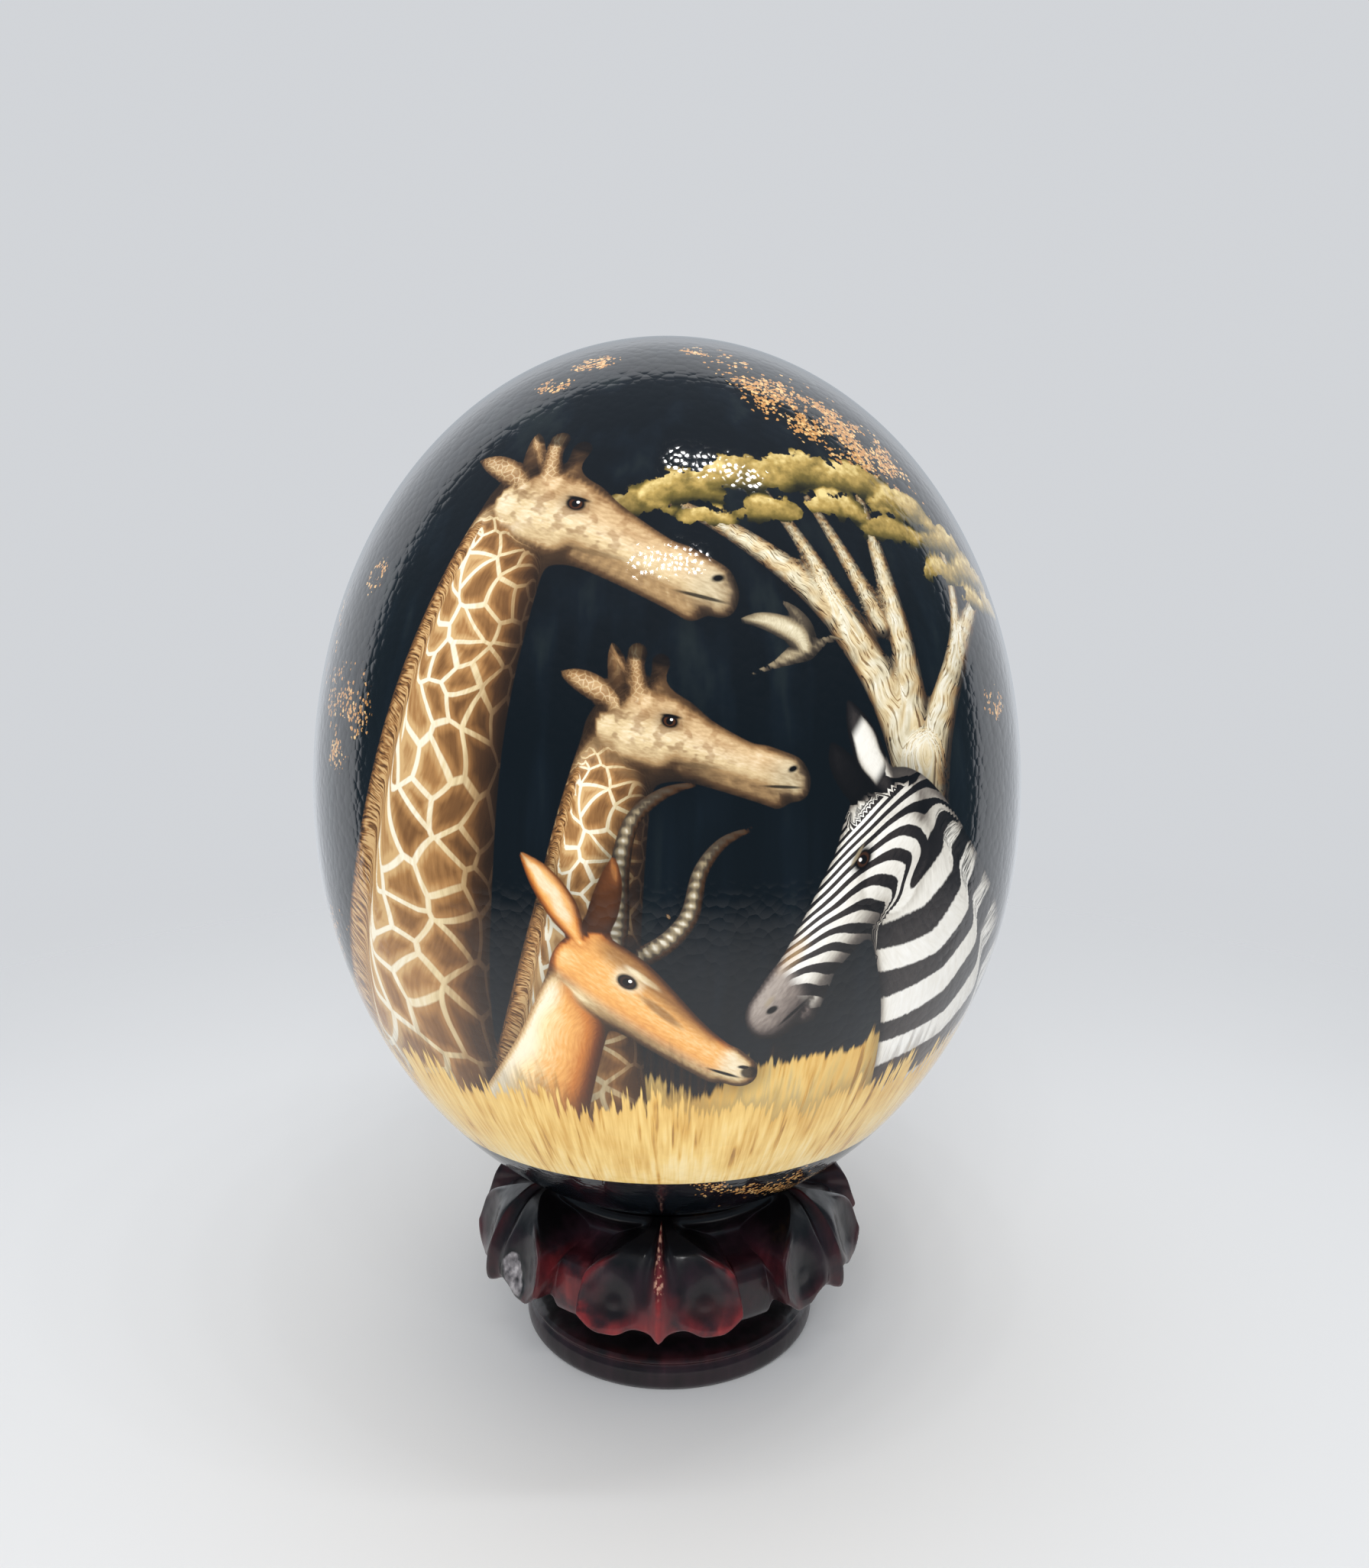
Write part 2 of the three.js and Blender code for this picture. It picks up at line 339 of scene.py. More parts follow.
    def stored(self, at, length, turn, facing):
        """The figure's three vectors: form, coat and face.

        The face's phase is 2 pi a stripe: bands round the neck, and on the face the distance forward less a
        term that steepens above the cheek, so that its upright stripes sweep forward and run down the nose.
        """
        form = np.stack([self.edge, self.light(), self.head], 1)
        along, across, tint = self.coat.T
        bend = np.arcsin(0.98 * across)
        sway = 0.5 * np.sin(1.9 * along + 1.3 * bend) + 0.3 * np.sin(4.3 * along - 2.1 * bend + 1)
        coat = np.stack([along + 0.16 * sway, bend + 0.12 * np.sin(3.1 * along + 2), tint], 1)
        if at is None:
            return form, coat, np.zeros(coat.shape)
        c, s = math.cos(math.radians(turn)), math.sin(math.radians(turn))
        x, y = facing * (self.x - at[0]) / length, (self.y - at[1]) / length
        u, v = x * c + y * s, y * c - x * s
        face = self.FACE_STRIPES * (u - 0.35 * v - 9.0 * np.clip(v + 0.12, 0, 1) ** 2)
        neck = self.NECK_STRIPES * along + 0.9 * across**2
        phase = neck + (face - neck) * smooth(self.head) + 0.9 * sway
        return form, coat, np.stack([u, v, phase], 1)


def on_head(figure, place):
    """A function that adds to a figure a limb whose path is drawn for a head of length 1."""
    return lambda path, **how: figure.limb(set_down(path, **place), **how)


def giraffe(figure, neck, **place):
    """Adds a giraffe's head, its horns and ears, and the neck below it with its short mane."""
    part = on_head(figure, place)
    mane = [(x - place["facing"] * 0.36 * r, y + 0.1 * r, 0.86 * r) for x, y, r in neck]
    part([(0.19, 0.07, 0.05), (0.17, 0.19, 0.036), (0.165, 0.27, 0.046)], lift=-3, head=0.6, tint=0.2)
    part([(0, 0.05, 0.03), (-0.03, 0.14, 0.05), (-0.07, 0.24, 0.04), (-0.1, 0.3, 0.01)], lift=-4, head=0.6)
    figure.limb(mane, lift=-4, steps=30, tint=1)
    figure.limb(neck, lift=-2, steps=30)
    part([(0.05, -0.06, 0.15), (0.2, -0.06, 0.17), (0.36, -0.065, 0.15), (0.52, -0.085, 0.122),
          (0.7, -0.105, 0.102), (0.84, -0.115, 0.1), (0.93, -0.125, 0.1), (0.97, -0.135, 0.085)],
         lift=1.5, soft=2.5, shadow=0.55, head=1, steps=40)
    part([(0.14, -0.14, 0.12), (0.26, -0.155, 0.11)], lift=2.2, soft=3.5, head=1)
    part([(0.3, -0.17, 0.08), (0.55, -0.2, 0.06), (0.8, -0.225, 0.05), (0.9, -0.235, 0.05)],
         lift=0.6, soft=2.5, head=1, steps=60)
    part([(0.17, 0.03, 0.09), (0.3, 0.015, 0.085)], lift=3.0, soft=3, head=1)
    part([(0.8, -0.07, 0.05), (0.95, -0.085, 0.05)], lift=3.0, soft=2, head=1)
    part([(1.0, -0.13, 0.05), (1.005, -0.165, 0.055)], lift=2, soft=1.2, head=1)
    part([(0.11, 0.07, 0.055), (0.05, 0.21, 0.04), (0.035, 0.29, 0.05)], lift=3, soft=0.8, shadow=0.3,
         head=0.6, tint=0.2)
    part([(-0.01, 0.02, 0.03), (-0.11, 0.06, 0.062), (-0.23, 0.09, 0.052), (-0.33, 0.1, 0.008)],
         lift=5, soft=0.6, shadow=0.5, head=0.6)


def zebra(figure, neck, **place):
    """Adds a zebra's head, ears, striped neck and upright mane."""
    part = on_head(figure, place)
    crest = set_down([(0.1, 0.05, 0.07)], **place).tolist()
    mane = crest + [(x - place["facing"] * 0.34 * r, y + 0.26 * r, 0.9 * r) for x, y, r in neck]
    part([(0.09, 0.08, 0.03), (0.08, 0.18, 0.055), (0.05, 0.28, 0.045), (0.02, 0.34, 0.01)],
         lift=-3, head=0.4)
    figure.limb(mane, lift=-5, steps=30, start=-0.8, tint=1)
    figure.limb(neck, lift=-2, steps=30)
    part([(0.09, -0.045, 0.145), (0.22, -0.06, 0.175), (0.36, -0.065, 0.168), (0.52, -0.06, 0.14),
          (0.68, -0.065, 0.118), (0.82, -0.075, 0.112), (0.93, -0.085, 0.112), (0.965, -0.095, 0.095)],
         lift=2, soft=2.5, shadow=0.5, head=1, steps=40)
    part([(0.16, -0.14, 0.14), (0.27, -0.165, 0.125)], lift=2.6, soft=4, shadow=0.4, head=1)
    part([(0.82, -0.04, 0.06), (0.93, -0.06, 0.06)], lift=3.2, soft=2.5, head=1)
    part([(0.74, -0.15, 0.05), (0.88, -0.19, 0.055)], lift=1.5, head=1)
    part([(0.01, 0.06, 0.03), (-0.03, 0.17, 0.062), (-0.09, 0.28, 0.052), (-0.14, 0.37, 0.01)],
         lift=5, soft=0.6, shadow=0.5, head=0.4)


def antelope(figure, neck, **place):
    """Adds an antelope's head, its ears and its slender neck."""
    part = on_head(figure, place)
    part([(0.02, 0.05, 0.03), (0.0, 0.16, 0.06), (-0.05, 0.29, 0.05), (-0.1, 0.38, 0.01)], lift=-3, head=0.6)
    figure.limb(neck, lift=-2, soft=1.5, steps=30)
    part([(0.09, -0.035, 0.15), (0.24, -0.05, 0.17), (0.4, -0.065, 0.15), (0.56, -0.08, 0.12),
          (0.72, -0.095, 0.1), (0.86, -0.105, 0.092), (0.94, -0.11, 0.082), (0.97, -0.115, 0.068)],
         lift=2, soft=2, shadow=0.5, head=1, steps=40)
    part([(0.2, -0.13, 0.12), (0.4, -0.15, 0.08), (0.65, -0.165, 0.06), (0.86, -0.175, 0.048)],
         lift=1.4, soft=1.5, head=1, steps=24)
    part([(0.86, -0.06, 0.045), (0.94, -0.075, 0.045)], lift=3, soft=1.5, head=1)
    part([(-0.02, 0.03, 0.03), (-0.14, 0.09, 0.065), (-0.28, 0.13, 0.055), (-0.4, 0.15, 0.01)],
         lift=5, soft=0.6, shadow=0.5, head=0.6)


def antelope_horns(figure, **place):
    """Adds a pair of lyre-shaped horns, the far one first."""
    far = [(0.21, 0.07, 0.05), (0.27, 0.23, 0.045), (0.27, 0.39, 0.038), (0.2, 0.55, 0.03),
           (0.2, 0.69, 0.021), (0.26, 0.8, 0.008)]
    near = [(0.13, 0.07, 0.052), (0.05, 0.21, 0.047), (-0.06, 0.37, 0.04), (-0.13, 0.54, 0.031),
            (-0.1, 0.69, 0.022), (-0.02, 0.8, 0.008)]
    figure.limb(set_down(far, **place), lift=-2, steps=26, unit=1.0)
    figure.limb(set_down(near, **place), lift=1, soft=0.6, shadow=0.4, steps=26, unit=1.0)


def bird(figure, **place):
    """Adds a wading bird in flight: far wing, neck, body and tail, and near wing."""
    part = on_head(figure, place)
    part([(0.1, 0.02, 0.1), (0.22, 0.34, 0.13), (0.1, 0.66, 0.1), (-0.1, 0.92, 0.02)], lift=-2, tint=0.5)
    part([(-0.9, -0.16, 0.02), (-0.5, -0.1, 0.06), (-0.2, -0.02, 0.13), (0.1, 0.02, 0.15), (0.36, 0.08, 0.08),
          (0.52, 0.14, 0.055), (0.62, 0.14, 0.06), (0.72, 0.12, 0.035), (0.9, 0.09, 0.01)], lift=1, steps=26)
    part([(0.12, 0.06, 0.12), (0.02, 0.3, 0.2), (-0.25, 0.52, 0.19), (-0.6, 0.68, 0.12), (-0.95, 0.72, 0.02)],
         lift=2, shadow=0.4)


def acacia(figure, trunk, limbs):
    """Adds a trunk and its limbs, the far ones first."""
    for path in limbs:
        figure.limb(path, soft=2.0, shadow=0.25, steps=24)
    figure.limb(trunk, lift=0.4, soft=3, shadow=0.2, steps=30)


def canopy(figure, tufts):
    """Adds flat tufts of leaves, each a flattened cloud about (x, y) of a given size."""
    for i, (x, y, r) in enumerate(tufts):
        w = 1.25 * r
        path = [(x - 0.6 * w, y - 0.1 * r, 0.32 * r), (x - 0.2 * w, y + 0.08 * r, 0.52 * r),
                (x + 0.25 * w, y + 0.08 * r, 0.5 * r), (x + 0.6 * w, y - 0.1 * r, 0.32 * r)]
        figure.limb(path, lift=i % 3, soft=1.4, shadow=0.35, steps=6)


BIG_GIRAFFE = dict(
    neck=[(-22, 58, 6.4), (-27, 45, 7.8), (-33, 26, 9.8), (-38, 4, 12.4), (-43, -20, 15.5), (-47, -48, 20)],
    at=(-23, 62), length=36, turn=-24, facing=1,
)
YOUNG_GIRAFFE = dict(
    neck=[(-6, 23, 4.7), (-8.5, 12, 5.7), (-11, -3, 7.2), (-13.5, -22, 9.6), (-16, -44, 13)],
    at=(-7, 27.5), length=27, turn=-14, facing=1,
)
ZEBRA = dict(
    neck=[(33, 10, 7.6), (41, -3, 10.6), (49, -21, 14.5), (56, -47, 20)],
    at=(35, 15), length=40, turn=-54, facing=-1,
)
ANTELOPE = dict(at=(-13, -5), length=35, turn=-38, facing=1)
ANTELOPE_NECK = [(-12, -10.5, 5.4), (-17, -25, 6.6), (-23, -42, 9.5), (-28, -61, 14)]
FRONT_TREE = dict(
    trunk=[(52, -50, 10), (47, -34, 6.6), (43.5, -16, 5.4), (41.5, 2, 5.0), (40.3, 14, 4.8), (40, 20, 4.6)],
    limbs=[
        [(33, 40, 1.9), (27, 51, 1.2), (22, 60, 0.6)],
        [(39, 18, 4.0), (37, 36, 2.4), (34, 50, 1.6), (32, 62, 0.8)],
        [(40, 12, 4.4), (34, 28, 3.4), (24, 42, 2.5), (11, 52, 1.6), (0, 58, 0.7)],
        [(28, 38, 2.0), (22, 49, 1.3), (15, 60, 0.6)],
        [(40, 14, 4.2), (45, 28, 3.2), (53, 41, 2.3), (62, 51, 1.2), (66, 55, 0.6)],
        [(49, 35, 2.0), (51, 47, 1.3), (50, 61, 0.7)],
    ],
)
FRONT_TUFTS = [
    (-4, 57, 6), (3, 60, 7), (12, 63, 8), (22, 65, 8.5), (32, 65, 8.5), (42, 62, 8.5), (52, 58, 8.5),
    (60, 53, 8), (66, 48, 6), (16, 57, 6), (38, 57, 7), (27, 59, 6), (49, 51, 6), (6, 55, 4.5), (58, 48, 5),
]

# For each chart, by its azimuth, the figures from the back to the front: stored name, drawing, and numbers.
LAYOUTS = [
    (0, [
        ("tree", acacia, FRONT_TREE),
        ("leaves", canopy, dict(tufts=FRONT_TUFTS)),
        ("birds", bird, dict(at=(19, 35), length=8.5, turn=12, facing=1)),
        ("giraffe", giraffe, YOUNG_GIRAFFE),
        ("giraffe", giraffe, BIG_GIRAFFE),
        ("zebra", zebra, ZEBRA),
        ("horns", antelope_horns, ANTELOPE),
        ("antelope", antelope, dict(neck=ANTELOPE_NECK, **ANTELOPE)),
    ]),
    (180, [
        ("tree", acacia, FRONT_TREE),
        ("leaves", canopy, dict(tufts=FRONT_TUFTS)),
        ("birds", bird, dict(at=(-24, 40), length=10, turn=16, facing=1)),
        ("birds", bird, dict(at=(-34, 28), length=8, turn=10, facing=1)),
        ("birds", bird, dict(at=(-14, 26), length=7, turn=8, facing=1)),
        ("giraffe", giraffe, dict(
            neck=[(8, 20, 4.6), (4, 8, 5.6), (-1, -10, 7.4), (-5, -30, 10), (-8, -56, 14)],
            at=(7, 24), length=26, turn=-12, facing=1)),
        ("zebra", zebra, dict(
            neck=[(-33, -2, 6.6), (-38, -14, 9.2), (-44, -32, 13), (-50, -56, 18)],
            at=(-34, 2), length=32, turn=-40, facing=1)),
    ]),
]


def painting(n):
    """For each figure's name, three vectors at every direction n, by attribute name: form, coat and face.

    form is edge, light and head; coat is along, bend and tint; face is the place on the head, and the
    stripes' phase. Where two figures share a name, the one whose outline is nearer is kept.
    """
    kept = {}
    for azimuth, figures in LAYOUTS:
        x, y = chart(n, azimuth)
        for name, draw, numbers in figures:
            figure = Figure(x, y)
            draw(figure, **numbers)
            values = figure.stored(**{key: numbers.get(key) for key in ("at", "length", "turn", "facing")})
            if name in kept:
                nearer = values[0][:, 0] < kept[name][0][:, 0]
                for old, new in zip(kept[name], values):
                    old[nearer] = new[nearer]
            else:
                kept[name] = values
    return {name + end: value for name in kept for end, value in zip(("_form", "_coat", "_face"), kept[name])}


# ---------------------------------------------------------------- the stand's shape


def carved_side(station):
    """The carved side, sections round by rows down: its points, their azimuths, and where it is raised.

    A section follows the petal's profile, pushed out along the profile's normal by a ridge down its middle
    and a rim round each lobe, and in by the lobes' dishes and by a groove beside the ridge. Near its tip it
    is raised by the notches and the cut corners and lowered by the cusp. Past the petal's side the section
    falls over to the lappet's profile.
    """
    columns = np.concatenate([np.linspace(*run) for run in COLUMN_RUNS])
    c = np.concatenate([-columns[:0:-1], columns[:-1]])
    middle = FRONT_PETAL + np.repeat(np.arange(PETALS), len(c))[:, None] * PITCH
    c = np.tile(c, PETALS)[:, None]
    side = np.abs(c)
    half = spline([(w, 0.0) for w in PETAL_HALF_WIDTH], station)[..., 0]
    past = (side - EDGE_COLUMN) / (1 - EDGE_COLUMN)
    turn = np.where(past < 0, side / EDGE_COLUMN * half, half + past * (PITCH / 2 - half)) * np.sign(c)
    petal, lappet = spline(PETAL_PROFILE, station), spline(LAPPET_PROFILE, station)
    tangent = np.gradient(petal, axis=1)
    tangent /= np.linalg.norm(tangent, axis=2, keepdims=True)
    x = side / EDGE_COLUMN
    length = smooth(station - RIDGE_FROM) * smooth(RIDGE_TO - station)
    ridge = RIDGE_HEIGHT * bell(x / RIDGE_WIDTH) * length
    groove = GROOVE_DEPTH * bell((x - GROOVE_AT) / GROOVE_WIDTH) * length
    from_dish = np.hypot((x - DISH_AT) / DISH_WIDTH, (station - DISH_STATION) / DISH_LENGTH)
    dish = DISH_DEPTH * smooth((DISH_EDGE - from_dish) / DISH_SLOPE)
    outer = smooth((x - DISH_AT) / RIM_FADE_ACROSS + (station - DISH_STATION) / RIM_FADE_DOWN)
    rim = RIM_HEIGHT * bell((from_dish - RIM_AT) / RIM_WIDTH) * outer
    out = ridge - groove - dish + rim
    rise = NOTCH_RISE * bell((x - NOTCH_AT) / NOTCH_WIDTH) - CUSP_DROP * bell(x / CUSP_WIDTH)
    rise += CORNER_RISE * smooth((x - CORNER_FROM) / (1 - CORNER_FROM))
    share = smooth((EDGE_COLUMN - side) / EDGE_SPREAD + 0.5)
    r = petal[..., 0] - tangent[..., 1] * out
    z = petal[..., 1] + tangent[..., 0] * out + rise * bell((station - TIP_STATION) / TIP_LENGTH)
    r = lappet[..., 0] + (r - lappet[..., 0]) * share
    z = lappet[..., 1] + (z - lappet[..., 1]) * share
    edge = bell((station - WORN_EDGE) / WORN_EDGE_LENGTH) * share
    raised = (ridge / RIDGE_HEIGHT - dish / DISH_DEPTH) * share
    relief = np.stack([raised, rim / RIM_HEIGHT * share, edge], -1)
    azimuth = np.radians(middle + turn)
    return round_axis(r, azimuth, z), azimuth, relief


def add_stand():
    """The stand as one closed skin: the seat under the egg, the carved side, and the foot's mouldings.

    Its vertices carry 'relief': up a ridge, 0 to 1, or down a hollow, 0 to -1; up a rim; and on a lower edge.
    """
    station = np.linspace(0, len(PETAL_PROFILE) - 1, SKIN_STEPS + 1)[None, :]
    side, azimuth, relief = carved_side(station)
    around = len(side)
    seat_r = SEAT_RADIUS * np.arange(1, SEAT_RINGS) / SEAT_RINGS
    seat = round_axis(seat_r, azimuth[:, :1], egg_underside(seat_r) - SEAT_GAP)
    foot = spline(FOOT_PROFILE, np.linspace(0, len(FOOT_PROFILE) - 1, FOOT_STEPS + 1))
    moulding = round_axis(foot[:, 0], azimuth[:, -1:], foot[:, 1])
    moulded = np.zeros((around, len(foot), 3))
    # Rubbed red on the foot's bead, which also serves as a painted highlight along it.
    moulded[..., 1] = WORN_LIT_BEAD * bell((foot[:, 1] - WORN_LIT_BEAD_Z) / WORN_LIT_BEAD_WIDTH)
    grid = np.concatenate([seat, side, moulding], 1)
    relief = np.concatenate([np.zeros(seat.shape), relief, moulded], 1)
    rows = grid.shape[1]
    ends = [(0, 0, float(egg_underside(0.0)) - SEAT_GAP), (0, 0, 0)]
    vertices = np.vstack([grid.reshape(-1, 3), ends])
    i, j = np.meshgrid(np.arange(around), np.arange(rows - 1), indexing="ij")
    k = (i + 1) % around
    quads = np.stack([i * rows + j, i * rows + j + 1, k * rows + j + 1, k * rows + j], -1).reshape(-1, 4)
    here = np.arange(around) * rows
    there = np.roll(here, -1)
    top, bottom = np.full(around, len(vertices) - 2), np.full(around, len(vertices) - 1)
    caps = np.vstack([np.stack([top, here, there], 1),
                      np.stack([bottom, there + rows - 1, here + rows - 1], 1)])
    relief = np.vstack([relief.reshape(-1, 3), np.zeros((2, 3))])
    return new_piece("carved_stand", vertices, [quads, caps], {"relief": relief})


# ---------------------------------------------------------------- shader maths


class Value:
    """A number, vector or colour in a node tree, used with Python's operators."""

    def __init__(self, tree, socket):
        self.tree, self.socket = tree, socket

    def __add__(self, other):
        return self.tree.maths("ADD", self, other)

    def __radd__(self, other):
        return self.tree.maths("ADD", other, self)

    def __sub__(self, other):
        return self.tree.maths("SUBTRACT", self, other)

    def __rsub__(self, other):
        return self.tree.maths("SUBTRACT", other, self)

    def __mul__(self, other):
        return self.tree.maths("MULTIPLY", self, other)

    def __rmul__(self, other):
        return self.tree.maths("MULTIPLY", other, self)

    def __truediv__(self, other):
        return self.tree.maths("DIVIDE", self, other)

    def __neg__(self):
        return self.tree.maths("MULTIPLY", self, -1.0)


class Tree:
    """A node tree, built by expressions.

    Vectors go from attributes and coordinates through Mapping nodes to textures, and numbers are taken from
    colours, so that no link changes a socket's kind: the renderer works such links out late and holds
    everything else.
    """

    def __init__(self, owner):
        owner.use_nodes = True
        self.nodes, self.links = owner.node_tree.nodes, owner.node_tree.links
        self.nodes.clear()

    def node(self, kind, inputs, output=0, stops=(), **settings):
        """Adds a node: its settings and stops, then its inputs by name or number. Returns one output."""
        made = self.nodes.new(kind)
        for key, value in settings.items():
            setattr(made, key, value)
        for _ in stops[2:]:
            made.color_ramp.elements.new(1.0)
        for i, colour in enumerate(stops):
            made.color_ramp.elements[i].position = i / (len(stops) - 1)
            made.color_ramp.elements[i].color = colour
        for key, value in inputs.items():
            if isinstance(value, Value):
                self.links.new(value.socket, made.inputs[key])
            else:
                made.inputs[key].default_value = value
        return Value(self, made.outputs[output]) if made.outputs else None

    def other(self, value, output):
        """Another output of the node that a value comes from."""
        return Value(self, value.socket.node.outputs[output])

    def maths(self, operation, *values):
        return self.node("ShaderNodeMath", dict(enumerate(values)), operation=operation)

    def clamp(self, value):
        return self.node("ShaderNodeMath", {0: value, 1: 0.0}, operation="ADD", use_clamp=True)

    def sin(self, value):
        return self.maths("SINE", value)

    def step(self, value, low, high):
        """0 below low, 1 above high, and an S-curve between; the other way round if high is below low."""
        ends = (low, high, 0.0, 1.0) if low < high else (high, low, 1.0, 0.0)
        inputs = dict(enumerate((value, *ends)))
        return self.node("ShaderNodeMapRange", inputs, interpolation_type="SMOOTHSTEP")

    def mix(self, a, b, share):
        return self.node("ShaderNodeMix", {0: share, 6: a, 7: b}, 2, data_type="RGBA")

    def ramp(self, value, colours):
        """The colours at equal steps of a value from 0 to 1."""
        return self.node("ShaderNodeValToRGB", {0: value}, stops=colours)

    def attribute(self, name):
        return self.node("ShaderNodeAttribute", {}, "Vector", attribute_name=name)

    def parts(self, value):
        """The three numbers of an attribute."""
        red = self.node("ShaderNodeSeparateColor", {0: self.other(value, "Color")})
        return red, self.other(red, 1), self.other(red, 2)

    def place(self, vector):
        """The x, y and z of a position or direction."""
        x = self.node("ShaderNodeSeparateXYZ", {0: vector})
        return x, self.other(x, 1), self.other(x, 2)

    def position(self):
        return self.node("ShaderNodeTexCoord", {}, "Object")

    def scaled(self, vector, scale, shift=(0.0, 0.0, 0.0)):
        return self.node("ShaderNodeMapping", {"Vector": vector, "Scale": scale, "Location": shift})

    def noise(self, vector, scale=1.0, detail=2.0):
        return self.node("ShaderNodeTexNoise", {"Vector": vector, "Scale": scale, "Detail": detail})

    def cells(self, vector, scale=1.0, **settings):
        return self.node("ShaderNodeTexVoronoi", {"Vector": vector, "Scale": scale}, **settings)

    def near(self, vector, at, size, turn=0.0):
        """1 at a place in a vector's x and y, falling evenly to 0 at an ellipse's edge, turned by degrees."""
        local = self.node("ShaderNodeMapping", {
            "Vector": vector, "Location": (*at, 0.0), "Rotation": (0.0, 0.0, math.radians(turn)),
            "Scale": (*size, 1e6),
        }, vector_type="TEXTURE")
        return self.node("ShaderNodeTexGradient", {0: local}, "Fac", gradient_type="SPHERICAL")


def paint(*rgb):
    """A colour from its values of 0 to 255 on a screen, for a shader."""
    shares = [value / 255 for value in rgb]
    return tuple(c / 12.92 if c < 0.0404 else ((c + 0.055) / 1.055) ** 2.4 for c in shares) + (1.0,)


def shades(*colours):
    """A ramp's colours, from the darkest to the lightest."""
    return [paint(*colour) for colour in colours]


# ---------------------------------------------------------------- the egg's painting

CREAM = shades((30, 22, 18), (92, 68, 46), (170, 140, 98), (224, 204, 160), (248, 240, 216))
HIDE = shades((20, 14, 11), (66, 44, 27), (122, 84, 48), (172, 126, 76), (212, 174, 120))
BONE = shades((16, 14, 14), (78, 68, 56), (158, 142, 112), (214, 202, 170), (244, 238, 220))
WHITE = shades((34, 30, 30), (120, 112, 104), (196, 190, 178), (236, 232, 222), (252, 250, 244))
BLACK = shades((8, 7, 8), (20, 17, 18), (38, 34, 34), (66, 60, 58))
MUZZLE = shades((12, 10, 10), (40, 34, 33), (84, 74, 70), (132, 120, 112), (172, 160, 150))
TAN = shades((26, 19, 15), (92, 66, 42), (160, 122, 80), (212, 178, 130), (244, 224, 188))
WARM = shades((34, 18, 12), (116, 62, 28), (196, 120, 54), (236, 174, 98), (252, 224, 170))
LEAF = shades((14, 15, 10), (52, 48, 22), (112, 96, 44), (178, 150, 82), (232, 208, 140))
GRASS = shades((74, 46, 20), (150, 104, 48), (216, 168, 84), (240, 204, 124), (248, 224, 164))
GROUND = shades((8, 13, 18), (13, 20, 27), (27, 34, 36))
INK = paint(12, 9, 9)
GOLD = paint(198, 144, 84)
BRIGHT_GOLD = paint(238, 196, 132)


class Painted:
    """A figure's stored values, as a material reads them, with hair drawn along its limbs and its face."""

    def __init__(self, tree, name):
        self.tree = tree
        self.form, self.coat, self.face = (tree.attribute(name + end) for end in ("_form", "_coat", "_face"))
        self.edge, self.light, self.head = tree.parts(self.form)
        self.along, self.bend, self.tint = tree.parts(self.coat)
        self.u, self.v, self.phase = tree.parts(self.face)

    def hair(self, limb=(3.4, 15.0, 0.0), face=(26.0, 85.0, 0.0)):
        """Fine streaks, 0 to 1, along the limbs and, on the head, along the face."""
        t = self.tree
        on_limb = t.noise(t.scaled(self.coat, limb), 1.0, 3.0)
        return on_limb + (t.noise(t.scaled(self.face, face), 1.0, 3.0) - on_limb) * self.head

    def over(self, behind, colour, soft=0.1, shadow=0.55):
        """The figure laid over what is behind it, which it shades round its outline."""
        t = self.tree
        shaded = t.mix(behind, GROUND[0], shadow * t.step(self.edge, 4.0, -1.0))
        return t.mix(shaded, colour, t.step(self.edge, soft, -soft))

    def spot(self, at, size, turn=0.0, soft=0.25):
        """1 within an ellipse on the head, fading over its soft outer part."""
        t = self.tree
        return t.step(t.near(self.face, at, size, turn), 0.0, soft)

    def stroke(self, a, b, width, soft=0.6):
        """1 within a lens-shaped stroke on the head from a to b."""
        middle = ((a[0] + b[0]) / 2, (a[1] + b[1]) / 2)
        turn = math.degrees(math.atan2(b[1] - a[1], b[0] - a[0]))
        return self.spot(middle, (math.hypot(b[0] - a[0], b[1] - a[1]) / 2, width), turn, soft)

    def eye(self, colour, at, size, iris):
        """An almond of dark lid, the iris in it, the pupil and a glint."""
        t = self.tree
        colour = t.mix(colour, INK, self.spot(at, (1.6 * size, 1.15 * size), 0.0, 0.35))
        colour = t.mix(colour, iris, self.spot(at, (size, 0.8 * size)))
        colour = t.mix(colour, INK, self.spot(at, (0.6 * size, 0.6 * size)))
        glint = (at[0] + 0.22 * size, at[1] + 0.3 * size)
        return t.mix(colour, WHITE[4], self.spot(glint, (0.26 * size, 0.24 * size)))


